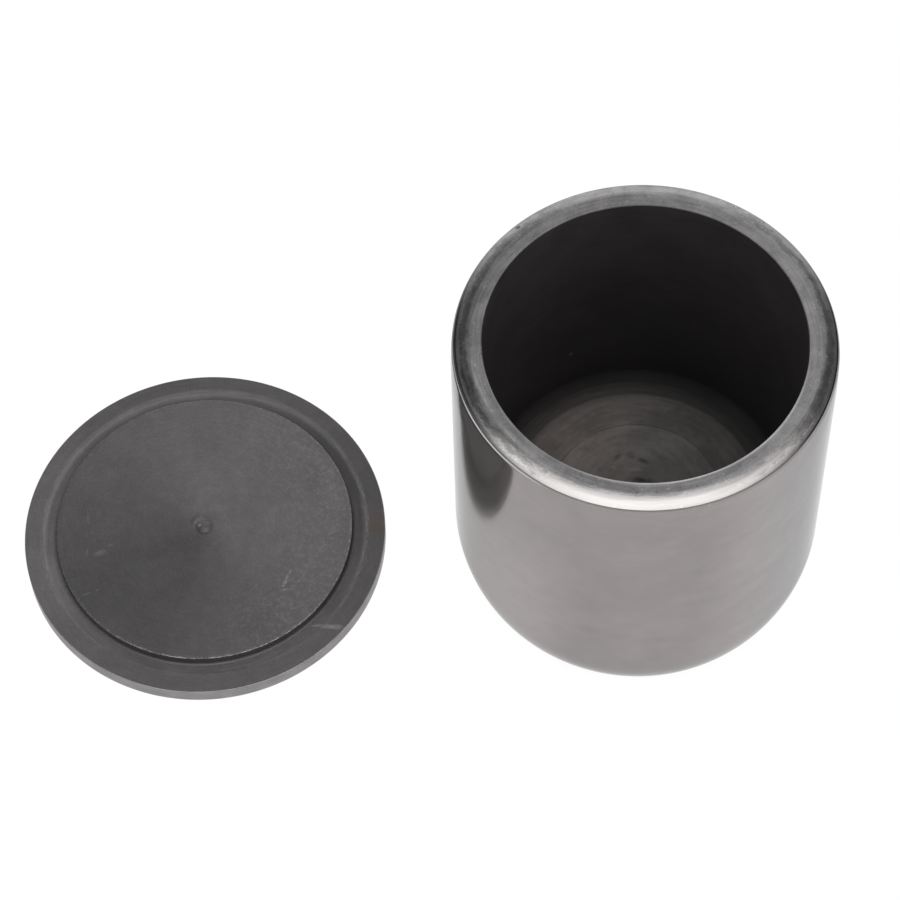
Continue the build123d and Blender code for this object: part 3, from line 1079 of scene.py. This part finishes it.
# Painted light and shade: lighter on the left, darker on the right and at the front.
shade = ring.product(shade, ring.fade(ring.east, -0.5, -1.0, 1.0, 1.27),
                     ring.fade(ring.east, 0.5, 0.85, 1.0, 0.89),
                     ring.fade(ring.north, -0.7, -1.0, 1.0, 0.95))
crest_radius = ring.calc("ADD", ring.calc("MULTIPLY", ring.north, 0.3), ridge_radius + 0.1)
crest_rub = ring.product(ring.fade(ring.apart(ring.radius, crest_radius), 0.75, 0.1),
                         ring.contrast(rings, 0.5, 1.0), ring.fade(ring.north, -1.0, 0.8, 0.42, 0.85))
dashes = ring.product(ring.fade(ring.noise(ring.lathe(26, 3.0), detail=3), 0.54, 0.62),
                      ring.band(ridge_radius + 0.4, 1.4),
                      ring.fade(ring.calc("ABSOLUTE", ring.north), 0.75, 0.1, 0.25, 1.0))
ring.tell("rub line and dashes")

# %% Scratch, stain and groove of the ring
ring_scratch = [((317, 625), 2.6, 0.6), ((327, 626.5), 3.2, 1.1), ((336, 627), 3.2, 1.3)]
brown_stain = (375, 523)
RING_GREY, STAIN_BROWN = (0.080, 0.075, 0.077, 1), (0.091, 0.070, 0.060, 1)

ring_level = lid_thick * MM
scratches = ring.own_marks(ring_level, ring_scratch, turn=2, blur=0.7)
shade = ring.with_marks(shade, scratches, 0.9)
shade = ring.with_marks(shade, [crest_rub], 0.8)
shade = ring.with_marks(shade, [dashes], 0.65)
in_groove = ring.fade(ring.radius, ridge_radius + 0.1, ridge_radius - 0.8)
# Painted shade and light in the groove: light at the front, dark at the back and at the disc's foot.
groove_painted_shade = ring.product(ring.fade(ring.north, -0.8, 0.9, 1.35, 0.45),
                            ring.fade(ring.radius, disc_radius + 0.9, disc_radius + 0.3, 1.0, 0.75))
shade = ring.product(shade, ring.mix(in_groove, 1.0, groove_painted_shade))
stain = ring.product(ring.mark(seen_at(brown_stain, ring_level), 4.2, 6.5, turn=0, blur=1.0),
                     ring.contrast(rings, 0.6, 1.6))
hue = ring.mix_colours(stain, RING_GREY, STAIN_BROWN)
lid_face_graphite = ring.finish(hue, shade, ring.contrast(rings, 0.38, 0.5), 0.0,
                                [(grain, 0.008), (rings, 0.008)])

# %% [markdown]
# ### The lid's edges
#
# The lid's outer edge is polished like the pot's wall. The edge of the disc is worn bright in
# dashes, where it has gone in and out of the bore. The pot's underside has the outer edge's finish.

# %% Polished edge and worn edge
edge = Finish("lid_edge_graphite", lid_centre)
edge_rings = edge.noise(edge.lathe(8, 4.0), detail=2)
edge_cloud = edge.noise(edge.place, 0.3, 3)
shade = edge.product(edge.contrast(edge_rings, 0.93, 1.07), edge.contrast(edge_cloud, 0.9, 1.08))
lid_edge_graphite = edge.finish((0.28, 0.268, 0.268), shade, 0.3, 0.86, [(edge_rings, 0.004)], sheen=0.7)

bright = Finish("worn_edge_graphite", lid_centre)
wear = bright.contrast(bright.noise(bright.lathe(40, 1.0), detail=2), 0.0, 1.0, reach=0.1)
shade = bright.spread(wear, 0.35, 1.0)
worn_edge_graphite = bright.finish((0.27, 0.26, 0.26), shade, 0.3, bright.spread(wear, 0.3, 0.9))

# %% Which finish each zone of a section has
finishes = {
    "polished": polished_graphite,
    "underside": lid_edge_graphite,
    "bore": bore_graphite,
    "floor": floor_graphite,
    "lid_face": lid_face_graphite,
    "lid_edge": lid_edge_graphite,
    "lid_disc": lid_disc_graphite,
    "worn_edge": worn_edge_graphite,
}
print(f"{len(finishes)} zones, {len(set(finishes.values()))} finishes")

# %% [markdown]
# ## The two pieces
#
# Where the parting tool broke through beside the nib it raised a small burr, a short arc of metal
# towards the back left. It is a bump along a circle about the nib, cut off at both ends.

# %% Make both pieces and hand them to the frame
BURR_RADIUS, BURR_WIDTH, BURR_HEIGHT = 1.95, 0.3, 0.16
BURR_BEARING, BURR_SPAN = 140, 26


def raise_burr(grid):
    """Adds h exp(-((r - r0) / w)^2) exp(-((a - a0) / s)^2) to the height of the disc's top."""
    x, y, z = grid[..., 0] / MM, grid[..., 1] / MM, grid[..., 2] / MM
    off = np.degrees(np.arctan2(y, x)) - BURR_BEARING
    bump = np.exp(-((np.hypot(x, y) - BURR_RADIUS) / BURR_WIDTH) ** 2) * np.exp(-(off / BURR_SPAN) ** 2)
    raised = np.where(z > lid_thick, z + BURR_HEIGHT * bump, z)
    return np.stack((grid[..., 0], grid[..., 1], raised * MM), axis=2)


pot = spin("crucible_turned", pot_section, finishes)
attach(pot, "root")
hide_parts("crucible")

cover = spin("lid_turned", lid_section, finishes, axis=lid_centre, reshape=raise_burr)
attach(cover, "root")
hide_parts("lid")
